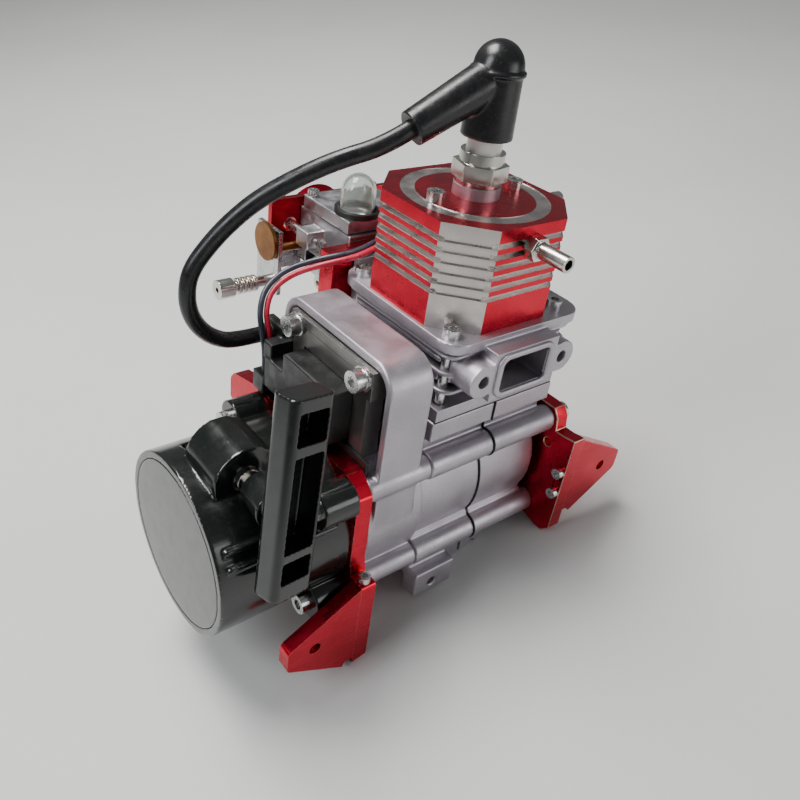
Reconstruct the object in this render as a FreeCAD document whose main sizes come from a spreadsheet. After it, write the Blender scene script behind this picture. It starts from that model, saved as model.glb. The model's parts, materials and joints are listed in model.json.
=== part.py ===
import FreeCAD, Part
import math
import os
import re
import Sketcher
from FreeCAD import Placement, Rotation, Vector

# A water-cooled 26 cc two-stroke model boat engine with a pull start.
# Every size is in millimetres. While a piece is drawn, X runs along the crankshaft towards the output
# end, Y towards the carburettor and Z up the cylinder, and zero is on the crankshaft's axis under the
# middle of the bore. Every finished piece is then moved back by output_x, so that the model's origin is
# on the crankshaft's axis in the outer face of the front mounting plate.

SIZES = {
    # driving dimensions
    "bore_radius": 17.0, "crank_throw": 14.0, "rod_length": 52.0,
    "running_gap": 0.04, "output_x": 45.0,
    # crankcase
    "case_half_length": 34.0, "case_radius": 34.0, "case_side": 29.0, "deck_width": 33.0,
    "case_deck_z": 45.0, "case_deck_height": 9.0, "chamber_radius": 30.0, "chamber_half": 15.5,
    "case_gasket_half": 0.25, "case_gasket_proud": 0.5,
    "tube_y": 32.0, "tube_z": 24.0, "tube_radius": 6.0, "tube_front_x": 38.0, "tube_rear_radius": 5.4,
    "spigot_radius": 20.0, "spigot_room": 20.15, "spigot_length": 9.0,
    "lug_z": -40.0, "lug_height": 13.0, "lug_thickness": 9.0, "lug_hole": 2.1,
    # crankshaft and bearings
    "web_radius": 26.5, "web_inner_x": 6.0, "web_thickness": 9.0, "shaft_radius": 7.5,
    "bearing_x": 17.0, "bearing_width": 11.0, "bearing_radius": 17.5, "race_inner": 10.0,
    "race_outer": 15.0, "ball_radius": 2.4, "ball_pitch": 12.5,
    "seal_x": 29.5, "seal_width": 4.0, "seal_radius": 13.0, "seal_lip": 7.56,
    "journal_radius": 5.0, "journal_x": 34.5, "journal_end_x": 66.0,
    "thread_radius": 4.0, "thread_length": 12.0, "tail_radius": 6.0,
    # piston and rod
    "crown_z": 79.3, "skirt_length": 24.3, "piston_wall": 3.0, "crown_thickness": 4.3,
    "pin_radius": 4.5, "pin_half_length": 14.6, "pin_boss_radius": 7.0, "rod_half_width": 4.5,
    "rod_shank": 4.0, "small_end_radius": 7.2, "big_end_radius": 8.0, "crank_pin_radius": 5.0,
    "crank_pin_half": 5.6,
    # cylinder
    "gasket_thickness": 0.5, "deck_z": 80.5, "cylinder_wall_radius": 23.0, "fin_thickness": 2.2,
    "base_flange_half": 33.0, "base_flange_height": 5.5, "top_flange_thickness": 4.5,
    "flange_back": 34.0, "flange_front": 39.0, "flange_side": 36.0, "cylinder_bolt_spacing": 28.0,
    "exhaust_face_y": 43.0, "exhaust_bolt_x": 21.6, "exhaust_bolt_z": 66.6, "exhaust_bolt_radius": 2.5,
    "exhaust_port_width": 25.0, "exhaust_port_low": 60.0, "exhaust_port_high": 74.0,
    "intake_face_y": 36.0, "intake_z": 72.9, "carb_bolt_z": 77.8, "carb_x": -3.0,
    "intake_bore": 7.5, "intake_bolt_x": 15.0,
    # water-cooled head
    "head_half": 32.3, "head_chamfer": 15.1, "head_height": 41.1,
    "groove_depth": 2.2, "groove_chamfer": 12.1, "groove_width": 2.1, "groove_pitch": 4.1,
    "first_groove": 13.6, "head_screw_x": 20.5, "water_outer": 26.5,
    "water_low": 86.0, "water_high": 117.0, "ring_inner": 23.6, "ring_outer": 29.1, "ring_depth": 0.25,
    "button_radius": 25.0, "button_height": 5.5, "neck_radius": 9.3, "neck_top": 126.1,
    "dome_radius": 26.0, "dome_depth": 4.0, "plug_thread_radius": 7.0,
    "nipple_x": 0.5, "nipple_z": 113.6, "nipple_length": 18.0, "nipple_radius": 3.1, "nipple_foot": 2.7,
    "nipple_bore": 1.9,
    "nipple_hex": 5.0, "nipple_hex_height": 4.5,
    # spark plug and its cap
    "plug_hex": 10.9, "plug_hex_low": 128.0, "plug_hex_high": 134.2, "shell_ring_radius": 8.6,
    "shell_ring_high": 138.4, "porcelain_radius": 6.7, "porcelain_high": 152.0, "terminal_radius": 3.0,
    "terminal_high": 158.0, "cap_low": 143.4, "cap_radius": 9.8, "cap_high": 176.6,
    "cap_arm_radius": 6.3,
    # magneto housing and flywheel
    "housing_front_x": -62.0, "housing_back_x": -34.0, "housing_wall": 4.0, "housing_radius": 36.0,
    "housing_room": 32.6, "frame_front_x": -60.0, "frame_back_x": -40.0, "frame_half": 35.8,
    "frame_top": 77.0, "frame_wall": 3.5, "frame_corner": 11.0,
    "flywheel_radius": 31.0, "flywheel_back_x": -44.0, "flywheel_front_x": -60.0,
    "coil_bolt_y": 22.0, "coil_bolt_z": 68.6, "core_thickness": 8.0,
    # pull start
    "starter_back_x": -71.0, "starter_front_x": -126.0, "starter_radius": 37.0, "starter_wall": 2.5,
    "starter_lug_radius": 8.0, "starter_lug_x": -86.0, "rope_z": 40.0, "rope_x": -107.0,
    "outlet_radius": 13.0, "outlet_y": -18.0, "drum_radius": 26.0, "drum_groove": 21.0, "post_radius": 4.0,
    "cup_radius": 22.0, "rope_radius": 1.5,
    # pull handle
    "handle_length": 74.6, "handle_width": 18.6, "handle_depth": 11.6,

    # mounting plates and legs
    "plate_thickness": 7.0, "rear_plate_x": -71.0, "front_plate_x": 38.0, "plate_hole": 30.0,
    "rear_leg_y": 47.0, "front_leg_y": 51.0, "leg_thickness": 6.0,
    "rear_leg_top": -12.5, "front_leg_top": 20.5, "leg_hole_radius": 2.6,
    # carburettor
    "carb_low": 63.0, "carb_high": 88.0, "carb_near_y": 47.0, "carb_far_y": 86.0, "carb_half": 19.0,
    "throttle_y": 60.0, "choke_y": 78.0, "butterfly_radius": 7.2, "spindle_radius": 2.0,
    "bulb_x": -12.0, "bulb_y": 57.0, "bulb_radius": 8.2, "bulb_straight": 9.5, "cover_high": 94.0,
    # leads
    "ignition_lead_radius": 3.3, "kill_wire_radius": 1.2,
}

doc = FreeCAD.newDocument("boat_engine")
sheet = doc.addObject("Spreadsheet::Sheet", "Sizes")
for row, (alias, value) in enumerate(SIZES.items(), start=1):
    sheet.set(f"A{row}", alias)
    sheet.set(f"B{row}", str(value))
    sheet.setAlias(f"B{row}", alias)
doc.recompute()

PARTS = []
ALONG = {"x": Rotation(Vector(0, 1, 0), 90), "y": Rotation(Vector(1, 0, 0), -90), "z": Rotation()}


# ---------------------------------------------------------------- helpers

def refer(text):
    """Write an expression's size names the way the sheet's cells are addressed."""
    return re.sub(r"[a-z][a-z0-9_]*", lambda m: "Sizes." + m[0] if m[0] in SIZES else m[0], str(text))


def bind(item, **expressions):
    for prop, text in expressions.items():
        item.setExpression(prop, refer(text))
    return item


def put(item, at, axis="z", turn=0):
    """Stand an item at a point given as three expressions, with its own Z along an axis."""
    spin = Rotation(Vector(0, 0, 1), turn)
    item.Placement = Placement(Vector(0, 0, 0), ALONG[axis].multiply(spin))
    for letter, text in zip("xyz", at):
        item.setExpression("Placement.Base." + letter, refer(text))
    return item


def rod(axis, radius, length, at):
    """A cylinder that starts at a point and runs along an axis."""
    item = doc.addObject("Part::Cylinder", "Rod")
    bind(item, Radius=radius, Height=length)
    return put(item, at, axis)


def cone(axis, radius, end_radius, length, at):
    item = doc.addObject("Part::Cone", "Cone")
    bind(item, Radius1=radius, Radius2=end_radius, Height=length)
    return put(item, at, axis)


def block(size, at):
    """A box from its lowest corner."""
    item = doc.addObject("Part::Box", "Block")
    bind(item, Length=size[0], Width=size[1], Height=size[2])
    return put(item, at)


def ball(radius, at):
    item = doc.addObject("Part::Sphere", "Ball")
    bind(item, Radius=radius)
    return put(item, at)


def hexagon(axis, corner_radius, length, at, turn=0):
    item = doc.addObject("Part::Prism", "Hexagon")
    item.Polygon = 6
    bind(item, Circumradius=corner_radius, Height=length)
    return put(item, at, axis, turn)



def fuse(*items):
    item = doc.addObject("Part::MultiFuse", "Joined")
    item.Shapes = list(items)
    item.Refine = True
    return item


def cut(base, *tools):
    item = doc.addObject("Part::Cut", "Cut")
    item.Base = base
    item.Tool = tools[0] if len(tools) == 1 else fuse(*tools)
    item.Refine = True
    return item


def common(base, tool):
    item = doc.addObject("Part::Common", "Common")
    item.Base = base
    item.Tool = tool
    return item


def group(*items):
    item = doc.addObject("Part::Compound", "Group")
    item.Links = list(items)
    return item


def ring(axis, radius, inner, length, at):
    start = list(at)
    letter = "xyz".index(axis)
    start[letter] = f"({at[letter]}) - 1"
    return cut(rod(axis, radius, length, at), rod(axis, inner, f"{length} + 2", start))


def finish(item, label):
    """Name a piece and move it into the model's own frame."""
    if item.TypeId in ("Part::Cylinder", "Part::Box", "Part::Sphere"):
        item = group(item)
    item.Label = label
    if item.TypeId == "Part::Feature":
        item.Placement = Placement(Vector(-SIZES["output_x"], 0, 0), Rotation())
    else:
        item.setExpression("Placement.Base.x", "-Sizes.output_x")
    PARTS.append(item)
    return item


def solid(label, shape):
    """A piece whose shape comes straight from Part's own functions."""
    item = doc.addObject("Part::Feature", "Solid")
    item.Shape = shape
    return finish(item, label)


def body_sketch(body, plane, offset, loops=(), circles=()):
    """A sketch on an origin plane whose corners, centres and radii all follow the sheet."""
    sketch = body.newObject("Sketcher::SketchObject", "Outline")
    for feature in body.Origin.OriginFeatures:
        if feature.Role == plane:
            sketch.AttachmentSupport = [(feature, "")]
    sketch.MapMode = "FlatFace"
    sketch.setExpression("AttachmentOffset.Base.z", refer(offset))

    def pin(geometry, point, at):
        for kind, text in zip(("DistanceX", "DistanceY"), at):
            index = sketch.addConstraint(Sketcher.Constraint(kind, -1, 1, geometry, point, 1.0))
            sketch.setExpression(f"Constraints[{index}]", refer(text))

    for loop in loops:
        first = len(sketch.Geometry)
        count = len(loop)
        corners = [Vector(9 * math.cos(6.28 * i / count), 9 * math.sin(6.28 * i / count), 0)
                   for i in range(count)]
        for i in range(count):
            sketch.addGeometry(Part.LineSegment(corners[i], corners[(i + 1) % count]))
        for i in range(count):
            following = first + (i + 1) % count
            sketch.addConstraint(Sketcher.Constraint("Coincident", first + i, 2, following, 1))
            pin(first + i, 1, loop[i])
    for across, up, radius in circles:
        index = sketch.addGeometry(Part.Circle(Vector(1, 1, 0), Vector(0, 0, 1), 2.0))
        pin(index, 3, (across, up))
        limit = sketch.addConstraint(Sketcher.Constraint("Radius", index, 2.0))
        sketch.setExpression(f"Constraints[{limit}]", refer(radius))
    return sketch


def feature(body, kind, sketch, length, reverse=False):
    """A pad or a pocket of a sketch."""
    item = body.newObject("PartDesign::" + kind, kind)
    item.Profile = sketch
    item.Reversed = reverse
    bind(item, Length=length)
    doc.recompute()
    return item


def new_body(label):
    body = doc.addObject("PartDesign::Body", label)
    doc.recompute()
    return body


def plate(label, plane, offset, outline, thickness, holes=(), rounds=()):
    """A flat plate: its outline's corners are rounded where rounds gives a radius for them."""
    body = new_body(label)
    sketch = body_sketch(body, plane, offset, [outline], holes)
    pad = feature(body, "Pad", sketch, thickness)
    normal = sketch.getGlobalPlacement().Rotation.multVec(Vector(0, 0, 1))
    for radius, corners in rounds:
        spots = [sketch.getGlobalPlacement().multVec(sketch.Geometry[i].StartPoint) for i in corners]
        round_edges(body, pad, normal, spots, radius)
    return body


def round_edges(body, pad, normal, spots, radius):
    """Round the edges along a direction that pass through the given spots."""
    names = []
    for number, edge in enumerate(body.Shape.Edges, start=1):
        if edge.Curve.TypeId != "Part::GeomLine":
            continue
        if abs(abs(edge.Curve.Direction.dot(normal)) - 1) > 1e-6:
            continue
        for spot in spots:
            if edge.Curve.projectPoint(spot, "LowerDistance") < 1e-4:
                names.append(f"Edge{number}")
    base = body.Tip
    item = body.newObject("PartDesign::Fillet", "Rounding")
    item.Base = (base, names)
    bind(item, Radius=radius)
    doc.recompute()
    return item


def mirrored(axis, points):
    """Continue an outline with its own mirror image, back to front."""
    index = "xy".index(axis)
    flipped = []
    for point in reversed(points):
        other = list(point)
        other[index] = f"-({point[index]})"
        flipped.append(tuple(other))
    return points + flipped


SIGNS = ((-1, -1), (-1, 1), (1, -1), (1, 1))


def cap_screw(axis, seat, radius, shank, flip=False):
    """A hexagon-socket cap screw whose head stands on a seat; its shank runs along -axis, or +axis
    when it is flipped."""
    letter = "xyz".index(axis)
    head_height = 1.8 * radius
    away = -1 if flip else 1

    def along(distance):
        spot = [str(c) for c in seat]
        spot[letter] = f"({spot[letter]}) + {distance}"
        return spot

    head = rod(axis, f"{1.7 * radius}", f"{head_height}", along(0 if not flip else -head_height))
    socket_start = head_height * 0.4 if not flip else -head_height - 0.1
    socket = hexagon(axis, f"{0.95 * radius}", f"{head_height * 0.6 + 0.1}", along(socket_start))
    stem = rod(axis, f"{radius}", f"{shank} + 0.01", along(-shank if away > 0 else -0.01))
    return cut(fuse(head, stem), socket)


# ---------------------------------------------------------------- crankcase

def case_solid(side, extra):
    """One half of the crankcase's outside: side is -1 for the starter's half and 1 for the output's."""
    start = "-case_half_length" if side < 0 else "case_gasket_half"
    length = "case_half_length - case_gasket_half"
    drum = rod("x", f"case_radius + {extra}", length, (start, "0", "0"))
    upper = block((length, f"2*case_side + 2*{extra}", "case_deck_z"), (start, f"-case_side - {extra}", "0"))
    deck = block((length, f"2*deck_width + 2*{extra}", "case_deck_height"),
                 (start, f"-deck_width - {extra}", "case_deck_z - case_deck_height"))
    return fuse(drum, upper, deck)


def tube_webs(start, length):
    return [block((length, "9", "9"), (start, f"{side}*27 - 4.5", "-25")) for side in (-1, 1)]


def case_tubes(start, length, radius):
    return [rod("x", radius, length, (start, f"{sy}*tube_y", f"{sz}*tube_z")) for sy, sz in SIGNS]


def case_hollows(side):
    """The chamber, the bearing's seat, the shaft's way out and the cylinder's opening."""
    towards = 1 if side > 0 else -1

    def across(radius, inner, outer):
        start = inner if side > 0 else f"-({outer})"
        return rod("x", radius, f"({outer}) - ({inner})", (start, "0", "0"))

    return [across("chamber_radius", "0", "chamber_half"),
            across("shaft_radius + 3", "chamber_half - 1", "case_half_length + 1"),
            across("bearing_radius", "bearing_x", "bearing_x + bearing_width"),
            across("seal_radius", "bearing_x + bearing_width", "case_half_length + 1"),
            rod("z", "spigot_room", "spigot_length + 2", ("0", "0", "case_deck_z - spigot_length - 0.2")),
            rod("z", "bore_radius + 0.6", "20", ("0", "0", "20"))] + [
                rod("z", "2", "10", (f"{towards}*cylinder_bolt_spacing", f"{sy}*cylinder_bolt_spacing",
                                     "case_deck_z - 8")) for sy in (-1, 1)]


def crankcase():
    """The two cast halves; the paper between them is handed back."""
    rear = cut(fuse(case_solid(-1, 0),
                    *case_tubes("-case_half_length", "case_half_length - case_gasket_half", "tube_radius"),
                    *tube_webs("-case_half_length", "case_half_length - case_gasket_half"),
                    foot_lug(-34, 22, 40.0), foot_lug(-14, 13.5, 31.0)),
               *case_hollows(-1), *case_tubes("-24", "25", "2.5"),
               rod("y", "lug_hole", "100", ("-24", "-50", "lug_z - 1")),
               *[rod("x", "2", "10.1", ("-case_half_length - 0.1", f"{sy}*17", f"{sz}*17"))
                 for sy, sz in SIGNS])
    finish(rear, "crankcase_rear")
    front = cut(fuse(case_solid(1, 0),
                     *case_tubes("case_gasket_half", "tube_front_x - case_gasket_half", "tube_radius"),
                     *tube_webs("case_gasket_half", "case_half_length - case_gasket_half"),
                     foot_lug(1, 12, 31.0)),
                *case_hollows(1), *case_tubes("0", "40", "2.6"),
                rod("y", "lug_hole", "100", ("8", "-50", "lug_z - 1")))
    finish(front, "crankcase_front")
    paper = block(("2*case_gasket_half", "90", "100"), ("-case_gasket_half", "-45", "-42"))
    outline = fuse(rod("x", "case_radius + case_gasket_proud", "4", ("-2", "0", "0")),
                   block(("4", "2*case_side + 1", "case_deck_z"), ("-2", "-case_side - 0.5", "0")),
                   block(("4", "2*deck_width + 1", "case_deck_height"),
                         ("-2", "-deck_width - 0.5", "case_deck_z - case_deck_height")),
                   *case_tubes("-2", "4", "tube_radius + case_gasket_proud"))
    gasket = cut(common(paper, outline), rod("x", "chamber_radius", "4", ("-2", "0", "0")),
                 rod("z", "spigot_room", "case_deck_z", ("0", "0", "12")),
                 *case_tubes("-2", "4", "2.6"))
    return gasket


def foot_lug(start, length, reach):
    """A cast foot below each side of the case."""
    near = block((str(length), "lug_thickness", "lug_height"), (str(start), f"-{reach}", "lug_z - 6"))
    far = block((str(length), "lug_thickness", "lug_height"), (str(start), f"{reach} - lug_thickness", "lug_z - 6"))
    web = block((str(length), f"2*{reach}", "5"), (str(start), f"-{reach}", "lug_z + 2"))
    rib = block((str(length), f"2*{reach - 6}", "14"), (str(start), f"-{reach - 6}", "lug_z + 2"))
    return fuse(near, far, web, rib)


def bearings_and_seals():
    outer, inner, balls, seals = [], [], [], []
    for side in (-1, 1):
        start = "bearing_x" if side > 0 else "-bearing_x - bearing_width"
        middle = f"{side}*(bearing_x + bearing_width/2)"
        outer.append(ring("x", "bearing_radius", "race_outer", "bearing_width", (start, "0", "0")))
        inner.append(ring("x", "race_inner", "shaft_radius", "bearing_width", (start, "0", "0")))
        for count in range(8):
            angle = count * 45
            balls.append(ball("ball_radius", (middle, f"ball_pitch*cos({angle})", f"ball_pitch*sin({angle})")))
        seat = "seal_x" if side > 0 else "-seal_x - seal_width"
        seals.append(ring("x", "seal_radius", "seal_lip", "seal_width", (seat, "0", "0")))
    finish(group(*outer), "bearing_outer_races")
    finish(group(*inner, *balls), "bearing_inner_races")
    finish(group(*seals), "oil_seals")


def crankshaft():
    front = fuse(rod("x", "web_radius", "web_thickness", ("web_inner_x", "0", "0")),
                 rod("x", "shaft_radius", "journal_x - web_inner_x - 1", ("web_inner_x + 1", "0", "0")),
                 rod("x", "tail_radius", "output_x - journal_x", ("journal_x", "0", "0")),
                 rod("x", "journal_radius", "journal_end_x - output_x", ("output_x", "0", "0")),
                 rod("x", "thread_radius", "thread_length", ("journal_end_x", "0", "0")))
    finish(cut(front, *web_holes("web_inner_x - 1")), "crankshaft_front")
    rear = fuse(rod("x", "web_radius", "web_thickness", ("-web_inner_x - web_thickness", "0", "0")),
                rod("x", "shaft_radius", "journal_x - web_inner_x - 1", ("-journal_x", "0", "0")),
                rod("x", "tail_radius", "-flywheel_front_x - journal_x", ("flywheel_front_x", "0", "0")),
                rod("x", "thread_radius", "9", ("flywheel_front_x - 9", "0", "0")))
    finish(cut(rear, *web_holes("-web_inner_x - web_thickness - 1")), "crankshaft_rear")


def web_holes(start):
    """Two holes near the crank pin leave the heavy side of the web opposite it."""
    return [rod("x", "5.5", "web_thickness + 2", (start, f"{side}*14", "13")) for side in (-1, 1)]


def flywheel_group():
    wheel = cut(fuse(ring("x", "flywheel_radius", "24", "14", ("flywheel_front_x + 1", "0", "0")),
                     rod("x", "25", "5", ("flywheel_back_x - 7", "0", "0")),
                     rod("x", "11", "flywheel_back_x - flywheel_front_x", ("flywheel_front_x", "0", "0"))),
                rod("x", "tail_radius", "30", ("flywheel_front_x - 1", "0", "0")),
                *[block(("10", "9", "5"), ("flywheel_front_x + 3", f"{y}", "26")) for y in (-15, 6)])
    finish(wheel, "flywheel")
    magnets = [common(block(("10", "9", "5"), ("flywheel_front_x + 3", f"{y}", "26")),
                      rod("x", "flywheel_radius", "20", ("flywheel_front_x", "0", "0"))) for y in (-15, 6)]
    finish(group(*magnets), "flywheel_magnets")
    cup = cut(fuse(rod("x", "cup_radius", "2", ("flywheel_front_x - 2", "0", "0")),
                   ring("x", "cup_radius", "cup_radius - 2", "14", ("flywheel_front_x - 16", "0", "0"))),
              rod("x", "thread_radius", "6", ("flywheel_front_x - 4", "0", "0")),
              *[block(("6", "50", "7"), ("flywheel_front_x - 17", "-25", "-3.5"))])
    finish(cup, "starter_cup")
    nut = cut(hexagon("x", "7.5", "6", ("flywheel_front_x - 8", "0", "0")),
              rod("x", "thread_radius", "10", ("flywheel_front_x - 10", "0", "0")))
    finish(nut, "flywheel_nut")


def piston_group():
    skirt_z = "crown_z - skirt_length"
    pin_z = "crank_throw + rod_length"
    shell = cut(rod("z", "bore_radius - running_gap", "skirt_length", ("0", "0", skirt_z)),
                rod("z", "bore_radius - piston_wall", "skirt_length - crown_thickness", ("0", "0", skirt_z)))
    bosses = common(fuse(*[rod("x", "pin_boss_radius", "12", (start, "0", pin_z)) for start in ("-18", "6")]),
                    rod("z", "bore_radius - 1", "60", ("0", "0", skirt_z)))
    grooves = [ring("z", "bore_radius + 1", "bore_radius - 2", "1.2", ("0", "0", f"crown_z - {drop}"))
               for drop in (3.2, 6.4)]
    piston = cut(fuse(shell, bosses), rod("x", "pin_radius", "40", ("-20", "0", pin_z)), *grooves)
    finish(piston, "piston")
    rings = [ring("z", "bore_radius - 0.02", "bore_radius - 2", "1.2", ("0", "0", f"crown_z - {drop}"))
             for drop in (3.2, 6.4)]
    finish(group(*rings), "piston_rings")
    pin = cut(rod("x", "pin_radius", "2*pin_half_length", ("-pin_half_length", "0", pin_z)),
              rod("x", "2.5", "40", ("-20", "0", pin_z)))
    finish(pin, "wrist_pin")


def rod_group():
    pin_z = "crank_throw + rod_length"
    small = rod("x", "small_end_radius", "2*rod_half_width", ("-rod_half_width", "0", pin_z))
    big = rod("x", "big_end_radius", "2*rod_half_width", ("-rod_half_width", "0", "crank_throw"))
    shank = block(("5", "2*rod_shank", "rod_length"), ("-2.5", "-rod_shank", "crank_throw"))
    flutes = [block(("3", "4", "26"), (start, "-2", "crank_throw + 13")) for start in ("-4.5", "1.5")]
    beam = cut(fuse(small, big, shank), rod("x", "pin_radius + running_gap", "20", ("-10", "0", pin_z)),
               rod("x", "6.6", "20", ("-10", "0", "crank_throw")), *flutes)
    cage = ring("x", "6.6", "crank_pin_radius", "2*rod_half_width", ("-rod_half_width", "0", "crank_throw"))
    finish(group(beam, cage), "connecting_rod")
    finish(rod("x", "crank_pin_radius", "2*crank_pin_half", ("-crank_pin_half", "0", "crank_throw")), "crank_pin")


# ---------------------------------------------------------------- cylinder and head

def cylinder():
    foot_z = "case_deck_z + gasket_thickness"
    wall = rod("z", "cylinder_wall_radius", f"deck_z - ({foot_z})", ("0", "0", foot_z))
    spigot = rod("z", "spigot_radius", "spigot_length + 2", ("0", "0", "case_deck_z - spigot_length"))
    base = block(("2*base_flange_half", "2*base_flange_half", "base_flange_height"),
                 ("-base_flange_half", "-base_flange_half", foot_z))
    width = "flange_back + flange_front"
    top = fin_plate("deck_z - top_flange_thickness", "top_flange_thickness", width, 0)
    fins = [fin_plate(z, "fin_thickness", "flange_back + flange_front - 6", 3) for z in ("69.2", "61.4")]
    ears = [rod("y", "7", "14", (f"{side}*exhaust_bolt_x", "-exhaust_face_y", "exhaust_bolt_z"))
            for side in (-1, 1)]
    snout = block(("34", "28", "21"), ("-17", "-exhaust_face_y", "56.5"))
    bridge = block(("2*exhaust_bolt_x", "10", "13"), ("-exhaust_bolt_x", "-exhaust_face_y", "exhaust_bolt_z - 6.5"))
    intake = fuse(block(("48", "22", "deck_z - 63"), ("carb_x - 24", "intake_face_y - 22", "63")),
                  block(("48", "3", "22"), ("carb_x - 24", "intake_face_y - 3", "63")))
    window = block(("exhaust_port_width", "16", "exhaust_port_high - exhaust_port_low"),
                   ("-exhaust_port_width/2 - 0.5", "-exhaust_face_y - 1", "exhaust_port_low"))
    duct = block(("20", "20", "9"), ("-10", "-exhaust_face_y + 10", "exhaust_port_low - 0.5"))
    throat = rod("y", "intake_bore", "9", ("carb_x", "intake_face_y - 8", "intake_z"))
    channel = block(("14", "16", "22"), ("carb_x - 7", "14", "50"))
    metal = fuse(wall, spigot, base, top, *fins, *ears, snout, bridge, intake)
    holes = [rod("z", "2.2", "60", (f"{sx}*cylinder_bolt_spacing", f"{sy}*cylinder_bolt_spacing", "40"))
             for sx, sy in SIGNS]
    holes += [rod("y", "exhaust_bolt_radius", "14.1", (f"{side}*exhaust_bolt_x", "-exhaust_face_y - 0.1",
                                                       "exhaust_bolt_z")) for side in (-1, 1)]
    holes += [rod("y", "2.5", "14.1", (f"carb_x + {side}*intake_bolt_x", "intake_face_y - 14", "carb_bolt_z"))
              for side in (-1, 1)]
    holes += [rod("z", "2", "13", (f"{side}*head_screw_x", "0", "deck_z - 12.5")) for side in (-1, 1)]
    piece = cut(metal, rod("z", "bore_radius", "60", ("0", "0", "30")), window, duct, throat, channel, *holes)
    finish(piece, "cylinder")
    return cut(block(("2*base_flange_half", "2*base_flange_half", "gasket_thickness"),
                     ("-base_flange_half", "-base_flange_half", "case_deck_z")),
               rod("z", "spigot_room", "4", ("0", "0", "case_deck_z - 2")),
               *[rod("z", "2.2", "4", (f"{sx}*cylinder_bolt_spacing", f"{sy}*cylinder_bolt_spacing",
                                       "case_deck_z - 2")) for sx, sy in SIGNS])


def fin_plate(low, thickness, width, inset):
    """A cooling fin: a rectangle with generously rounded corners."""
    start = f"-flange_back + {inset}"
    side = f"flange_side - {inset}"
    corner = 9.0
    core = block((width, f"2*({side}) - {2 * corner}", thickness), (start, f"-({side}) + {corner}", low))
    cross = block((f"{width} - {2 * corner}", f"2*({side})", thickness), (f"{start} + {corner}", f"-({side})", low))
    corners = [rod("z", str(corner), thickness, (x, f"{sy}*(({side}) - {corner})", low))
               for x in (f"{start} + {corner}", f"{start} + {width} - {corner}") for sy in (-1, 1)]
    return fuse(core, cross, *corners)


def octagon_prism(half, leg, low, height):
    """A square bar with its corners planed off by a second bar turned 45 degrees."""
    across = f"(2*({half}) - ({leg}))*sqrt(2)"
    turned = block((across, across, height), ("0", f"-({across})*sqrt(2)/2", low))
    turned.Placement = Placement(Vector(0, 0, 0), Rotation(Vector(0, 0, 1), 45))
    put_again(turned, ("0", f"-({across})*sqrt(2)/2", low))
    return common(block((f"2*({half})", f"2*({half})", height), (f"-({half})", f"-({half})", low)), turned)


def put_again(item, at):
    for letter, text in zip("xyz", at):
        item.setExpression("Placement.Base." + letter, refer(text))


def water_head():
    metal = octagon_prism("head_half", "head_chamfer", "deck_z", "head_height")
    slots = []
    for count in range(6):
        low = f"deck_z + first_groove + {count}*groove_pitch"
        rim = block(("2*head_half + 2", "2*head_half + 2", "groove_width"), ("-head_half - 1", "-head_half - 1", low))
        slots.append(cut(rim, octagon_prism("head_half - groove_depth", "groove_chamfer", low, "groove_width")))
    seats = [ring("z", "ring_outer", "ring_inner", "ring_depth + 1", ("0", "0", "deck_z + head_height - ring_depth")),
             rod("z", "button_radius", "button_height + 1", ("0", "0", "deck_z - 1")),
             rod("z", "neck_radius", "head_height + 2", ("0", "0", "deck_z - 1"))]
    body = cut(metal, *slots, *seats)
    post = 4.6
    jacket = cut(ring("z", "water_outer", "neck_radius + 1.5", "water_high - water_low", ("0", "0", "water_low")),
                 *[rod("z", str(post), "60", (f"{side}*head_screw_x", "0", "70")) for side in (-1, 1)])
    drillings = [rod("z", "2.2", "60", (f"{side}*head_screw_x", "0", "75")) for side in (-1, 1)]
    ports = [rod("y", "nipple_foot", "15", ("nipple_x", "-head_half - 1", "nipple_z")),
             rod("x", "nipple_foot", "8", ("head_half - 6.5", "0", "nipple_z"))]
    piece = cut(body, jacket, *drillings, *ports)
    finish(piece, "water_head")


def head_button():
    low = "deck_z"
    disc = rod("z", "button_radius - 0.05", "button_height", ("0", "0", low))
    neck = rod("z", "neck_radius - 0.05", "neck_top - deck_z", ("0", "0", low))
    dome = common(ball("dome_radius", ("0", "0", "deck_z + dome_depth - dome_radius")),
                  rod("z", "14.5", "20", ("0", "0", "deck_z")))
    piece = cut(fuse(disc, neck), dome,
                rod("z", "plug_thread_radius", "80", ("0", "0", "deck_z + 3")),
                *[rod("z", "2.2", "30", (f"{side}*head_screw_x", "0", "75")) for side in (-1, 1)])
    finish(piece, "head_button")


def water_nipples():
    near = nipple("y", ("nipple_x", "-head_half", "nipple_z"), -1)
    far = nipple("x", ("head_half", "0", "nipple_z"), 1)
    return [near, far]


def nipple(axis, seat, away):
    letter = "xyz".index(axis)

    def stretch(start, length):
        spot = list(seat)
        low = start if away > 0 else -start - length
        spot[letter] = f"{seat[letter]} + {low}"
        return spot

    base = hexagon(axis, "nipple_hex", "nipple_hex_height", stretch(0, SIZES["nipple_hex_height"]))
    stem = rod(axis, "nipple_radius", "nipple_length", stretch(0, SIZES["nipple_length"]))
    foot = rod(axis, "nipple_foot", "4", stretch(-4, 4))
    return cut(fuse(base, stem, foot), rod(axis, "nipple_bore", "nipple_length + 8",
                                                stretch(-6, SIZES["nipple_length"] + 8)))


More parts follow.
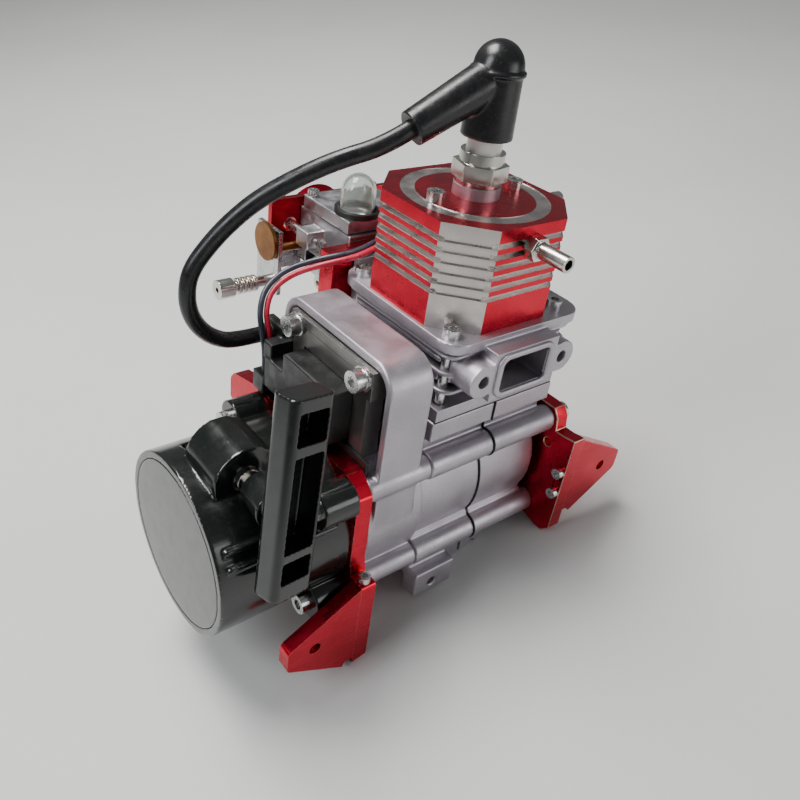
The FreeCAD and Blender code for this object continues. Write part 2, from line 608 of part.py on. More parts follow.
def spark_plug():
    shell = cut(fuse(rod("z", "plug_thread_radius", "plug_hex_low - deck_z - 5", ("0", "0", "deck_z + 5")),
                     rod("z", "plug_thread_radius + 2", "plug_hex_low - neck_top", ("0", "0", "neck_top")),
                     hexagon("z", "plug_hex", "plug_hex_high - plug_hex_low", ("0", "0", "plug_hex_low"), 12),
                     rod("z", "shell_ring_radius", "shell_ring_high - plug_hex_high", ("0", "0", "plug_hex_high"))),
                rod("z", "4", "80", ("0", "0", "deck_z")),
                rod("z", "porcelain_radius", "40", ("0", "0", "plug_hex_low")))
    finish(shell, "plug_shell")
    porcelain = cut(fuse(rod("z", "4", "60", ("0", "0", "deck_z + 6")),
                         rod("z", "porcelain_radius", "porcelain_high - plug_hex_low", ("0", "0", "plug_hex_low"))),
                    rod("z", "1.2", "90", ("0", "0", "deck_z")))
    terminal = fuse(rod("z", "1.2", "porcelain_high - deck_z - 3", ("0", "0", "deck_z + 3")),
                    rod("z", "terminal_radius", "terminal_high - porcelain_high", ("0", "0", "porcelain_high")))
    finish(group(porcelain, terminal), "plug_insulator")


def plug_cap():
    """The rubber cap: a sleeve with a domed top, a bead and an arm that slopes down to the lead."""
    sleeve = cone("z", "cap_radius", "cap_radius - 0.6", "23.5", ("0", "0", "cap_low"))
    bead = rod("z", "cap_radius + 0.4", "1.6", ("0", "0", "cap_low + 22"))
    crown = ball("cap_radius - 0.6", ("0", "0", "cap_high - cap_radius + 0.6"))
    along = LEAD_ROUTE[0] - CAP_ELBOW
    arm = doc.addObject("Part::Cone", "Arm")
    bind(arm, Radius1="cap_arm_radius + 1.6", Radius2="cap_arm_radius", Height=str(along.Length))
    arm.Placement = Placement(CAP_ELBOW, Rotation(Vector(0, 0, 1), along))
    piece = cut(fuse(sleeve, bead, crown, arm),
                rod("z", "porcelain_radius", "porcelain_high - cap_low + 1", ("0", "0", "cap_low - 1")),
                rod("z", "terminal_radius", "terminal_high - porcelain_high + 1", ("0", "0", "porcelain_high - 1")))
    finish(piece, "plug_cap")


# ---------------------------------------------------------------- leads

CAP_ELBOW = Vector(0, 0, 165)
LEAD_ROUTE = [Vector(*p) for p in (
    (-33, 4, 147), (-42.9, 5.2, 141.6), (-57, 12, 136), (-68.5, 19, 128.5), (-79, 26.5, 119.5),
    (-87.5, 32.5, 109), (-94, 36.8, 98.8), (-99, 38.8, 90.2), (-100.6, 39, 81.3), (-99.4, 39, 72.9),
    (-95.4, 39, 65.4), (-89.1, 39, 59.7), (-81.2, 39, 56.5), (-66.5, 39, 56.5))]
WIRE_MIDDLE = [Vector(*p) for p in (
    (-68, 33.8, 42), (-68, 33.8, 51), (-69.5, 34, 60), (-69.5, 37, 68.5), (-64, 42, 75), (-54, 43, 80),
    (-44, 36.3, 85.3), (-32.3, 30.5, 88.6), (-21, 34, 88.6), (-10.5, 38.5, 88.4), (-1, 39.9, 88.2),
    (8, 39.9, 88.2))]
WIRE_SPREAD = [Vector(*p) for p in (
    (-1.5, 0, 0), (-1.5, 0, 0), (-1.5, 0.2, 0), (-1.3, 0.3, 0.6), (-0.8, 0.7, 0.9), (0, 1, 1),
    (0.4, 1.2, 0.7), (0.2, 1.4, 0.4), (-0.3, 1.5, 0.1), (-0.4, 1.8, 0), (0, 2.1, 0), (0, 2.1, 0))]


def tube(points, radius):
    """A round cord: straight runs joined by arcs that touch both of their neighbours."""
    edges = []
    start = points[0]
    for before, corner, after in zip(points, points[1:], points[2:]):
        into = (corner - before).normalize()
        out = (after - corner).normalize()
        half_turn = into.getAngle(out) / 2
        tangent = 0.45 * min((corner - before).Length, (after - corner).Length)
        bend = tangent / math.tan(half_turn)
        inward = (out - into).normalize()
        centre = corner + inward * (bend / math.cos(half_turn))
        first = corner - into * tangent
        last = corner + out * tangent
        edges.append(Part.LineSegment(start, first).toShape())
        edges.append(Part.Arc(first, centre - inward * bend, last).toShape())
        start = last
    edges.append(Part.LineSegment(start, points[-1]).toShape())
    path = Part.Wire(edges)
    section = Part.Wire(Part.Circle(points[0], points[1] - points[0], radius).toShape())
    cord = path.makePipeShell([section], True, True)
    print(f"volume over section times length: {cord.Volume / (math.pi * radius ** 2 * path.Length):.4f}")
    return cord


def leads():
    solid("ignition_lead", tube(LEAD_ROUTE, SIZES["ignition_lead_radius"]))
    black = [middle + spread for middle, spread in zip(WIRE_MIDDLE, WIRE_SPREAD)]
    red = [middle - spread for middle, spread in zip(WIRE_MIDDLE, WIRE_SPREAD)]
    solid("kill_wire_black", tube(black, SIZES["kill_wire_radius"]))
    solid("kill_wire_red", tube(red, SIZES["kill_wire_radius"]))
    sleeves = [cut(rod("x", "2", "14", ("8", str(39.9 + side * 2.1), "88.2")),
                   rod("x", "1.2", "5", ("17.5", str(39.9 + side * 2.1), "88.2"))) for side in (-1, 1)]
    finish(group(*sleeves), "wire_connectors")


# ---------------------------------------------------------------- magneto

def magneto_housing():
    depth = "housing_back_x - housing_front_x"
    drum = rod("x", "housing_radius", depth, ("housing_front_x", "0", "0"))
    frame = [block(("frame_back_x - frame_front_x", "2*frame_half", "frame_top - frame_corner"),
                   ("frame_front_x", "-frame_half", "0")),
             block(("frame_back_x - frame_front_x", "2*frame_half - 2*frame_corner", "frame_top"),
                   ("frame_front_x", "-frame_half + frame_corner", "0"))]
    corners = [rod("x", "frame_corner", "frame_back_x - frame_front_x",
                   ("frame_front_x", f"{side}*(frame_half - frame_corner)", "frame_top - frame_corner"))
               for side in (-1, 1)]
    tubes = [rod("x", "tube_rear_radius", "30", ("-64", f"{sy}*tube_y", f"{sz}*tube_z")) for sy, sz in SIGNS]
    outside = fuse(fuse(fuse(*frame, *corners), drum), *tubes)
    room_radius = "frame_corner - frame_wall"
    room_depth = "frame_back_x - frame_front_x - housing_wall + 1"
    start = "frame_front_x - 1"
    rooms = [rod("x", "housing_room", "housing_back_x - housing_front_x - housing_wall + 1",
                 ("housing_front_x - 1", "0", "0")),
             block((room_depth, "2*frame_half - 2*frame_wall", "frame_top - frame_corner"),
                   (start, "-frame_half + frame_wall", "0")),
             block((room_depth, "2*frame_half - 2*frame_corner", "frame_top - frame_wall"),
                   (start, "-frame_half + frame_corner", "0"))]
    rooms += [rod("x", room_radius, room_depth,
                  (start, f"{side}*(frame_half - frame_corner)", "frame_top - frame_corner")) for side in (-1, 1)]
    inside_posts = [rod("x", "tube_rear_radius", "60", ("-80", f"{sy}*tube_y", f"{sz}*tube_z")) for sy, sz in SIGNS]
    inside_posts += [rod("x", "5", "30", ("-54", f"{side}*coil_bolt_y", "coil_bolt_z")) for side in (-1, 1)]
    hollow = cut(fuse(*rooms), *inside_posts)
    threads = [rod("x", "2.5", "18.1", ("-64.1", f"{sy}*tube_y", f"{sz}*tube_z")) for sy, sz in SIGNS]
    threads += [rod("x", "2.5", "12", ("-54.1", f"{side}*coil_bolt_y", "coil_bolt_z")) for side in (-1, 1)]
    threads += [rod("x", "2.2", "20", ("-45", f"{sy}*17", f"{sz}*17")) for sy, sz in SIGNS]
    piece = cut(outside, hollow, *threads, rod("x", "9", "20", ("-45", "0", "0")))
    finish(piece, "magneto_housing")


def flipped_screw(axis, seat, radius, shank):
    """A cap screw that points along +axis from its seat."""
    letter = "xyz".index(axis)

    def along(distance):
        spot = [str(c) for c in seat]
        spot[letter] = f"({spot[letter]}) + {distance}"
        return spot

    head_height = 1.8 * radius
    head = rod(axis, f"{1.7 * radius}", f"{head_height}", along(-head_height))
    stem = rod(axis, f"{radius}", f"{shank} + 0.01", along(-0.01))
    socket = hexagon(axis, f"{0.95 * radius}", f"{head_height * 0.6 + 0.1}", along(-head_height - 0.1))
    return cut(fuse(head, stem), socket)


def magneto_cover():
    sheet = block(("1.5", "62", "66"), ("-63.5", "-31", "-30"))
    piece = cut(sheet, rod("x", "24", "4", ("-65", "0", "0")),
                *[rod("x", "tube_rear_radius + 0.1", "4", ("-65", f"{sy}*tube_y", f"{sz}*tube_z"))
                  for sy, sz in SIGNS])
    finish(piece, "magneto_cover")


def coil():
    yoke = block(("core_thickness", "54", "12"), ("-62", "-27", "61"))
    limbs = [block(("core_thickness", "8", "28"), ("-62", str(y), "33.5")) for y in (-25, 17)]
    core = cut(fuse(yoke, *limbs), rod("x", "flywheel_radius + 2.5", "40", ("-80", "0", "0")),
               *[rod("x", "2.5", "20", ("-70", f"{side}*coil_bolt_y", "coil_bolt_z")) for side in (-1, 1)])
    finish(core, "coil_core")
    potting = fuse(block(("20", "33", "22.7"), ("-72", "-16.8", "38")),
                   block(("14", "14", "14"), ("-72", "16", "38")),
                   block(("8.8", "8", "9"), ("-72.5", "29.9", "33")),
                   block(("4.2", "13.5", "12"), ("-64.5", "29.8", "50.5")),
                   block(("4.2", "5", "8"), ("-64.5", "26", "50.5")),
                   block(("7", "6.3", "8"), ("-71.5", "26", "50.5")),
                   rod("x", "4.2", "2", ("-66.5", "39", "56.5")))
    piece = cut(potting, rod("x", "flywheel_radius + 2.5", "80", ("-120", "0", "0")),
                block(("core_thickness", "54", "12"), ("-62", "-27", "61")),
                *[block(("core_thickness", "8", "28"), ("-62", str(y), "33.5")) for y in (-25, 17)])
    finish(piece, "ignition_coil")


# ---------------------------------------------------------------- mounting plates and legs

LEG_SCREW_HEIGHTS = ("2.7", "-8.8")
BOLT_HOLES = [(f"{sy}*tube_y", f"{sz}*tube_z", "2.75") for sy, sz in SIGNS]


def mounting_plates():
    rear = [("-30", "33"), ("-38", "25"), ("-38", "-6"), ("-39.5", "rear_leg_top"), ("-rear_leg_y", "rear_leg_top"),
            ("-rear_leg_y", "-57"), ("-40", "-57"), ("-36", "-40"), ("36", "-40"), ("40", "-57"),
            ("rear_leg_y", "-57"), ("rear_leg_y", "8"), ("60", "14"), ("60", "24"), ("57", "28"), ("36", "33")]
    body = plate("rear_plate", "YZ_Plane", "rear_plate_x", rear, "plate_thickness",
                 [("0", "0", "plate_hole")] + BOLT_HOLES, (("3", (1, 13, 14)), ("2", (4, 10))))
    finish(cut(body, rod("z", "1.5", "12", ("rear_plate_x + 3.5", "-43.5", "rear_leg_top - 10"))),
           "rear_mount_plate")
    front = mirrored("x", [("36", "31"), ("39", "27"), ("40", "21"), ("44", "21"), ("front_leg_y", "22"),
                           ("front_leg_y", "-30"), ("47", "-34"), ("43", "-34"), ("36", "-32")][::-1])
    body = plate("front_mount_plate", "YZ_Plane", "front_plate_x", front, "plate_thickness",
                 [("0", "0", "10.5"), ("-37", "13", "2"), ("37", "13", "2")] + BOLT_HOLES
                 + [(f"{side}*48", z, "1.5") for side in (-1, 1) for z in LEG_SCREW_HEIGHTS])
    finish(body, "front_mount_plate")


def legs():
    for name, face, outward, top, side_y, sides in (
            ("rear", "rear_plate_x", -1, "rear_leg_top", "rear_leg_y", (-1, 1)),
            ("front", "front_plate_x + plate_thickness", 1, "front_leg_top", "front_leg_y", (-1, 1))):
        pair = []
        for side, word in zip(sides, ("right", "left")):
            outline = [(f"{face} + {outward}*({x})", f"{top} + ({z})")
                       for x, z in ((0, 0), (32.5, -17.5), (32.5, -28), (5, -44), (4, -41.5), (0, -41.5))]
            hole = (f"{face} + {outward}*20", f"{top} - 22", "leg_hole_radius")
            offset = f"{side_y} - leg_thickness" if side < 0 else f"-{side_y}"
            leg = plate(f"{name}_leg_{word}", "XZ_Plane", offset, outline, "leg_thickness", [hole], (("3", (1, 2)),))
            if outward > 0:
                leg = cut(leg, *[rod("x", "1.5", "4", (f"{face} - 1", f"{side}*48", z)) for z in LEG_SCREW_HEIGHTS])
            pair.append(leg)
        finish(group(*pair), f"{name}_legs")


# ---------------------------------------------------------------- pull start

def starter_shell():
    length = "starter_back_x - starter_front_x"
    tube_x = "starter_front_x"
    lugs = [rod("x", "starter_lug_radius", "starter_back_x - starter_lug_x",
                ("starter_lug_x", f"{sy}*tube_y", f"{sz}*tube_z")) for sy, sz in SIGNS]
    outlet = rod("y", "outlet_radius", "22", ("rope_x + 1", "outlet_y", "rope_z - 3"))
    ribs = [rod("x", "1.2", "45", ("starter_front_x + 4", y, z)) for y, z in (("-31.6", "20"), ("-34.6", "14"))]
    shell = fuse(rod("x", "starter_radius", length, (tube_x, "0", "0")), outlet, *lugs, *ribs)
    room = [rod("x", "starter_radius - starter_wall", length, ("starter_front_x + 5", "0", "0")),
            rod("x", "33.9", "2.2", ("starter_front_x - 0.1", "0", "0")),
            rod("x", "30", "10", ("starter_front_x - 1", "0", "0")),
            rod("y", "10.5", "30", ("rope_x + 1", "outlet_y + 1.5", "rope_z - 3")),
            rod("y", "4.6", "30", ("rope_x + 1", "outlet_y - 5", "rope_z - 3"))]
    guards = [rod("x", "4.5", "17", ("starter_lug_x - 1", f"{sy}*tube_y", f"{sz}*tube_z")) for sy, sz in SIGNS]
    holes = [rod("x", "2.75", "30", ("starter_lug_x - 6", f"{sy}*tube_y", f"{sz}*tube_z")) for sy, sz in SIGNS]
    heads = [rod("x", "5", "12", ("starter_lug_x - 12", f"{sy}*tube_y", f"{sz}*tube_z")) for sy, sz in SIGNS]
    piece = cut(shell, cut(fuse(*room), *guards), *holes, *heads)
    finish(piece, "starter_housing")
    lid = fuse(rod("x", "33.85", "2", ("starter_front_x", "0", "0")),
               rod("x", "30", "3.4", ("starter_front_x + 1.6", "0", "0")),
               rod("x", "post_radius", "-76 - starter_front_x - 3", ("starter_front_x + 3", "0", "0")))
    finish(lid, "starter_lid")
    guide = cut(rod("y", "4.6", "6", ("rope_x + 1", "outlet_y - 1.5", "rope_z - 3")),
                rod("y", "1.9", "10", ("rope_x + 1", "outlet_y - 3", "rope_z - 3")))
    finish(guide, "rope_guide")


def recoil():
    drum = cut(fuse(rod("x", "drum_radius", "14", ("-118", "0", "0")), rod("x", "8", "34.5", ("-105", "0", "0"))),
               rod("x", "post_radius + running_gap", "60", ("-120", "0", "0")),
               ring("x", "drum_radius + 1", "drum_groove", "6", ("-114", "0", "0")))
    dogs = [block(("4", "7", "5"), ("-75", "7", "-2.5")), block(("4", "7", "5"), ("-75", "-14", "-2.5"))]
    finish(fuse(drum, *dogs), "starter_drum")
    finish(ring("x", "drum_radius - 1", "drum_groove", "5.6", ("-113.8", "0", "0")), "drum_rope")
    finish(ring("x", "24", "11", "2.2", ("-120.7", "0", "0")), "recoil_spring")


def pull_handle():
    """The handle is drawn upright about its own middle, then leant the way it hangs."""
    half = "handle_length/2"
    low = f"-{half}"
    bar = fuse(block(("handle_width", "handle_depth - 6", "handle_length"),
                     ("-handle_width/2", "-handle_depth/2 + 3", low)),
               block(("handle_width - 6", "handle_depth", "handle_length"),
                     ("-handle_width/2 + 3", "-handle_depth/2", low)),
               *[rod("z", "3", "handle_length", (f"{sx}*(handle_width/2 - 3)", f"{sy}*(handle_depth/2 - 3)", low))
                 for sx, sy in SIGNS])
    windows = [block(("13", "9", f"handle_length*{high - start}"),
                     ("-6.5", "-handle_depth/2 - 0.1", f"-{half} + handle_length*{start}"))
               for start, high in ((0.78, 0.933), (0.245, 0.725), (0.085, 0.20))]
    grip = cut(bar, *windows)
    grip.Placement = Placement(HANDLE_MIDDLE, Rotation(Vector(1, 0, 0), HANDLE_BACK, HANDLE_UP, "ZYX"))
    rope_at = ("rope_x + 1", "-36", "rope_z - 3")
    neck = cone("y", "8", "6.6", "13.2", ("rope_x + 2", "-36", "rope_z - 3"))
    finish(cut(fuse(grip, neck), rod("y", "rope_radius", "17", rope_at)), "pull_handle")
    finish(rod("y", "rope_radius", "34", rope_at), "handle_rope")


HANDLE_MIDDLE = Vector(-101.2, -39.8, 44.3)
HANDLE_UP = Vector(0.163, 0.156, 0.974)
HANDLE_BACK = Vector(-0.174, 0.985, 0)


# ---------------------------------------------------------------- carburettor

def intake_parts():
    insulator = cut(block(("68", "10", "22"), ("-37", "36.5", "64")),
                    rod("y", "intake_bore", "20", ("carb_x", "30", "intake_z")),
                    *[rod("y", "2.6", "20", (f"carb_x + {side}*intake_bolt_x", "30", "carb_bolt_z")) for side in (-1, 1)])
    finish(insulator, "insulator_block")
    sheets = [block(("38", "0.5", "22"), ("carb_x - carb_half", y, "64")) for y in ("36", "46.5")]
    sheets += [block(("38", "35", "0.4"), ("carb_x - carb_half", "49", z)) for z in ("88", "62.6")]
    bores = [rod("y", "intake_bore", "20", ("carb_x", "30", "intake_z"))]
    bores += [rod("y", "2.6", "20", (f"carb_x + {side}*intake_bolt_x", "30", "carb_bolt_z")) for side in (-1, 1)]
    papers = [cut(sheet, *bores) for sheet in sheets[:2]]
    drilled = [rod("z", "1.6", "4", (x, y, "86")) for x, y in COVER_SCREWS]
    return papers + [cut(sheet, rod("z", "9", "40", ("carb_x", "66", "60")), *drilled) for sheet in sheets[2:]]


def carb_body():
    metal = fuse(block(("2*carb_half", "carb_far_y - carb_near_y", "carb_high - carb_low"),
                       ("carb_x - carb_half", "carb_near_y", "carb_low")),
                 block(("9.5", "9", "8"), ("-31", "66", "75.5")))
    trims = [block(("12", "27", "7"), (x, "53", z)) for x in ("-25", "12") for z in ("carb_low - 1",)]
    holes = [rod("y", "intake_bore", "60", ("carb_x", "40", "intake_z")),
             rod("y", "1.54", "30", ("-27", "60", "79.5"))]
    holes += [rod("x", "spindle_radius + running_gap", "60", ("-40", y, "intake_z")) for y in ("throttle_y", "choke_y")]
    holes += [rod("y", "2.6", "60", (f"carb_x + {side}*intake_bolt_x", "40", "carb_bolt_z")) for side in (-1, 1)]
    holes += [rod("z", "1.5", "4", (x, y, "85")) for x, y in COVER_SCREWS]
    finish(cut(metal, *trims, *holes), "carb_body")
    nipples = [cut(fuse(rod("x", "2", "12", ("carb_x + carb_half", y, z)), rod("x", "3", "2", ("carb_x + carb_half", y, z))),
                   rod("x", "1.1", "14", ("carb_x + carb_half", y, z))) for y, z in (("68", "68"), ("54", "83"))]
    return nipples


def carb_covers_and_primer():
    cover = cut(block(("2*carb_half", "35", "cover_high - 88.4"), ("carb_x - carb_half", "49", "88.4")),
                rod("z", "6", "3", ("bulb_x", "bulb_y", "cover_high - 2.5")),
                *[rod("z", "1.6", "12", (x, y, "86")) for x, y in COVER_SCREWS])
    finish(cover, "metering_cover")
    pump = cut(block(("34", "33", "4.6"), ("-20", "50", "58")), block(("20", "20", "2"), ("-13", "56", "61")))
    finish(pump, "pump_cover")
    finish(ring("z", "bulb_radius + 1.8", "bulb_radius", "2.5", ("bulb_x", "bulb_y", "cover_high")), "bulb_retainer")
    skin = "bulb_radius - 0.05"
    dome_z = "cover_high + 0.3 + bulb_straight"
    outside = fuse(rod("z", skin, "bulb_straight", ("bulb_x", "bulb_y", "cover_high + 0.3")),
                   ball(skin, ("bulb_x", "bulb_y", dome_z)))
    inside = fuse(rod("z", "bulb_radius - 1.2", "bulb_straight + 1", ("bulb_x", "bulb_y", "cover_high - 0.7")),
                  ball("bulb_radius - 1.2", ("bulb_x", "bulb_y", dome_z)))
    finish(cut(outside, inside), "primer_bulb")


COVER_SCREWS = (("-19", "81"), ("13", "81"), ("13", "52"))


def carb_spindles():
    throttle = fuse(rod("x", "spindle_radius", "46", ("-30", "throttle_y", "intake_z")),
                    rod("y", "butterfly_radius", "1", ("carb_x", "throttle_y - 0.5", "intake_z")),
                    block(("2", "5", "11"), ("-28", "throttle_y - 2.5", "intake_z - 11")),
                    block(("2", "5", "9"), ("-28", "throttle_y - 2.5", "intake_z")),
                    rod("x", "3", "2", ("-28", "throttle_y", "intake_z - 11")))
    finish(cut(throttle, rod("x", "1.2", "6", ("-30", "throttle_y", "intake_z - 11"))), "throttle_lever")
    choke = fuse(rod("x", "spindle_radius", "63", ("-47", "choke_y", "intake_z")),
                 rod("y", "butterfly_radius", "1", ("carb_x", "choke_y - 0.5", "intake_z")),
                 rod("x", "8.5", "1.6", ("-47", "choke_y - 3", "intake_z + 6")))
    finish(choke, "choke_lever")
    screw = fuse(rod("y", "1.5", "28", ("-27", "62.9", "79.5")), rod("y", "2.6", "4.5", ("-27", "90.5", "79.5")))
    finish(group(screw, ring("y", "2.3", "1.75", "14", ("-27", "75.8", "79.5"))), "idle_screw")
    plate_part = cut(fuse(block(("2", "18", "30"), ("-44", "68", "55")), block(("22", "2.5", "9"), ("-44", "83.5", "60"))),
                     rod("x", "3", "10", ("-48", "choke_y", "intake_z")), rod("x", "2.54", "10", ("-48", "74.5", "60")))
    finish(plate_part, "cable_bracket")
    adjuster = cut(fuse(rod("x", "2.5", "30", ("-70", "74.5", "60")), rod("x", "4.4", "7", ("-70", "74.5", "60")),
                        *[rod("x", "3.8", "1.6", (f"-61 + {2.6 * count}", "74.5", "60")) for count in range(4)]),
                   rod("x", "1.2", "40", ("-75", "74.5", "60")))
    finish(adjuster, "cable_adjuster")


def air_horn():
    bell = fuse(rod("y", "intake_bore + 2.9", "6", ("carb_x", "carb_far_y + 3", "intake_z")),
                cone("y", "intake_bore + 2.9", "17", "8", ("carb_x", "carb_far_y + 9", "intake_z")))
    base = block(("68", "3", "28"), ("-37", "carb_far_y + 0.5", "64"))
    piece = cut(fuse(base, bell), rod("y", "intake_bore", "30", ("carb_x", "carb_far_y - 5", "intake_z")),
                cone("y", "intake_bore", "15.6", "8.1", ("carb_x", "carb_far_y + 9", "intake_z")),
                *[rod("y", "2.6", "9", (f"carb_x + {side}*intake_bolt_x", "carb_far_y", "carb_bolt_z")) for side in (-1, 1)],
                rod("y", "3.3", "9", ("-27", "carb_far_y", "79.5")))
    finish(piece, "air_horn")


# ---------------------------------------------------------------- fasteners

def fasteners():
    """Screws of one thread share one node, each screw a solid of its own."""
    tubes = [(f"{sy}*tube_y", f"{sz}*tube_z") for sy, sz in SIGNS]
    m5 = [cap_screw("x", ("output_x", y, z), 2.5, 69) for y, z in tubes]
    m5 += [flipped_screw("x", ("starter_lug_x", y, z), 2.5, 38) for y, z in tubes]
    for side in (-1, 1):
        coil_seat = ("-63.2", f"{side}*coil_bolt_y", "coil_bolt_z")
        m5.append(fuse(flipped_screw("x", coil_seat, 2.5, 19), rod("x", "5", "1.2", coil_seat)))
        m5.append(cap_screw("y", (f"carb_x + {side}*intake_bolt_x", "carb_far_y + 3.5", "carb_bolt_z"), 2.5, 65))
    finish(group(*m5), "m5_bolts")
    m4 = [cap_screw("z", (f"{sx}*cylinder_bolt_spacing", f"{sy}*cylinder_bolt_spacing", "deck_z"), 2.0, 42.5)
          for sx, sy in SIGNS]
    m4 += [cap_screw("z", (f"{side}*head_screw_x", "0", "deck_z + head_height"), 2.0, 52) for side in (-1, 1)]
    m4 += [flipped_screw("x", ("housing_back_x - housing_wall", f"{sy}*17", f"{sz}*17"), 2.0, 14)
           for sy, sz in SIGNS]
    finish(group(*m4), "m4_screws")
    m3 = [cap_screw("z", (x, y, "cover_high"), 1.5, 9) for x, y in COVER_SCREWS]
    m3.append(cap_screw("z", ("rear_plate_x + 3.5", "-43.5", "rear_leg_top"), 1.5, 10))
    m3 += [flipped_screw("x", ("front_plate_x", f"{side}*48", z), 1.5, 10) for side in (-1, 1)
           for z in LEG_SCREW_HEIGHTS]
    finish(group(*m3), "m3_screws")


def check_and_write():
    doc.recompute()
    for item in doc.Objects:
        if "Invalid" in item.State or "Error" in item.State:
            raise RuntimeError(f"{item.Label} ({item.Name}) is {item.State}")
    os.makedirs("parts", exist_ok=True)
    for item in PARTS:
        if item.Shape.isNull() or not item.Shape.isValid():
            raise RuntimeError(f"{item.Label} has no valid shape")
        item.Shape.exportStep(f"parts/{item.Label}.step")
        box = item.Shape.BoundBox
        print(f"{item.Label:24s} solids {len(item.Shape.Solids):2d} "
              f"x {box.XMin:7.1f} {box.XMax:7.1f} y {box.YMin:7.1f} {box.YMax:7.1f} z {box.ZMin:7.1f} {box.ZMax:7.1f}")
    print(len(PARTS), "nodes")


gaskets = [crankcase()]
bearings_and_seals()
crankshaft()
flywheel_group()
piston_group()
rod_group()
gaskets.append(cylinder())
water_head()
head_button()
nipples = water_nipples()
spark_plug()
plug_cap()
leads()
magneto_housing()
magneto_cover()
coil()
mounting_plates()
legs()
starter_shell()
recoil()
pull_handle()
gaskets += intake_parts()
nipples += carb_body()
carb_covers_and_primer()
carb_spindles()
air_horn()
finish(group(*gaskets), "gaskets")
finish(group(*nipples), "hose_nipples")
fasteners()
check_and_write()
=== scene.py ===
import json
import math

import bmesh
import bpy
from mathutils import Matrix, Vector


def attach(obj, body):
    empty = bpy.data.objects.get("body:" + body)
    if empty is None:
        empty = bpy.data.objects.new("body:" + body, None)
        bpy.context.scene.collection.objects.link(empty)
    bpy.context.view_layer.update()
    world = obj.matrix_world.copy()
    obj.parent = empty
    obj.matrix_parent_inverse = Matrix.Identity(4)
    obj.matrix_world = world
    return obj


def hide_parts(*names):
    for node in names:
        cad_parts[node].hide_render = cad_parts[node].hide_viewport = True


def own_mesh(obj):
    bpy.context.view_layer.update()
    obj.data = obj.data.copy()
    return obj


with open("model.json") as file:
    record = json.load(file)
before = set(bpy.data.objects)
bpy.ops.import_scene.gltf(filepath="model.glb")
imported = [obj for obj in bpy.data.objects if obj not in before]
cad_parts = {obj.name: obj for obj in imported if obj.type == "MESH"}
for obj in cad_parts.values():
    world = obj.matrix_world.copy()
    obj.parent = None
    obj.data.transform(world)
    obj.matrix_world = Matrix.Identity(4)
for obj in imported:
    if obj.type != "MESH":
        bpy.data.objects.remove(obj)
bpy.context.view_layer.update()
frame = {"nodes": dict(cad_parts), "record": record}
NODES = frame["nodes"]
RECORD = frame["record"]
SLOT = {entry["node"]: entry["material_slot"] for entry in RECORD["subparts"]}
MM = 0.001
SHIFT = 45.0                     # the CAD's own zero is under the bore, 45 mm behind the row's origin


def at(x, y, z):
    """A point given in millimetres from the crankshaft's axis under the bore, in the row frame."""
    return Vector(((x - SHIFT) * MM, y * MM, z * MM))


# ---------------------------------------------------------------- materials

class Graph:
    """A material's node tree, with short ways to add what most surfaces share."""

    def __init__(self, name):
        self.material = bpy.data.materials.new(name)
        self.material.use_nodes = True
        self.tree = self.material.node_tree
        self.shader = self.tree.nodes["Principled BSDF"]
        self.coord = self.tree.nodes.new("ShaderNodeTexCoord")

    def node(self, kind, **inputs):
        made = self.tree.nodes.new(kind)
        for key, value in inputs.items():
            numbered = key[0] == "i" and key[1:].isdigit()
            slot = made.inputs[int(key[1:]) if numbered else key]
            if isinstance(value, bpy.types.NodeSocket):
                self.tree.links.new(value, slot)
            else:
                slot.default_value = value
        return made

    def math(self, operation, first, second=0.0, third=0.0):
        made = self.node("ShaderNodeMath", i0=first, i1=second, i2=third)
        made.operation = operation
        return made.outputs[0]

    def noise(self, scale, detail=3.0, stretch=None, roughness=0.5):
        vector = self.coord.outputs["Object"]
        if stretch:
            vector = self.node("ShaderNodeMapping", Vector=vector, Scale=stretch).outputs[0]
        made = self.node("ShaderNodeTexNoise", Vector=vector, Scale=scale, Detail=detail, Roughness=roughness)
        return made.outputs[0]

    def spread(self, value, low, high, start=0.35, end=0.65):
        return self.node("ShaderNodeMapRange", i0=value, i1=start, i2=end, i3=low, i4=high).outputs[0]

    def blend(self, mask, first, second):
        made = self.tree.nodes.new("ShaderNodeMix")
        made.data_type = "RGBA"
        for slot, value in ((made.inputs[0], mask), (made.inputs[6], first), (made.inputs[7], second)):
            if isinstance(value, bpy.types.NodeSocket):
                self.tree.links.new(value, slot)
            elif slot == made.inputs[0]:
                slot.default_value = value
            else:
                slot.default_value = (*value, 1.0)
        return made.outputs[2]

    def wire(self, socket, name):
        self.tree.links.new(socket, self.shader.inputs[name])

    def bump(self, height, strength, distance):
        made = self.node("ShaderNodeBump", Strength=strength, Distance=distance, Height=height)
        self.wire(made.outputs[0], "Normal")


